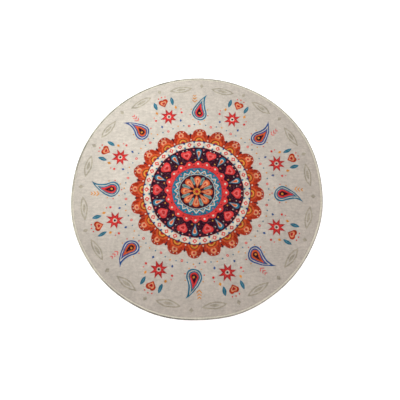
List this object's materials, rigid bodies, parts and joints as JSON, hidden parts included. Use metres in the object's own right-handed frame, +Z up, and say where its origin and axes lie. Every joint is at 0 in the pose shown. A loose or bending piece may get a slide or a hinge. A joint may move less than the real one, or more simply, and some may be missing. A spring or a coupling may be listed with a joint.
{
  "type": "round short-pile rug",
  "caption": "Round flat floor rug: a disc of dense short printed pile with a serged yarn edge, lying flat with its pile up.",
  "frame": {"origin": "on the floor, under the middle of the rug", "axes": "+Z up through the pile, -Y towards the viewer of the picture, +X to the viewer's right"},
  "size_m": [0.9977, 0.9979, 0.0087],
  "materials": {
    "pile": "dense cut synthetic pile, matt, warm greige ground with a printed medallion in rust, plum, teal, coral, ochre and cobalt",
    "serging": "cream overlock yarn whipped close round the edge, soiled olive brown on its outer side"
  },
  "bodies": {
    "root": {"rug_field": "pile", "edge_serging": "serging"}
  },
  "joints": []
}
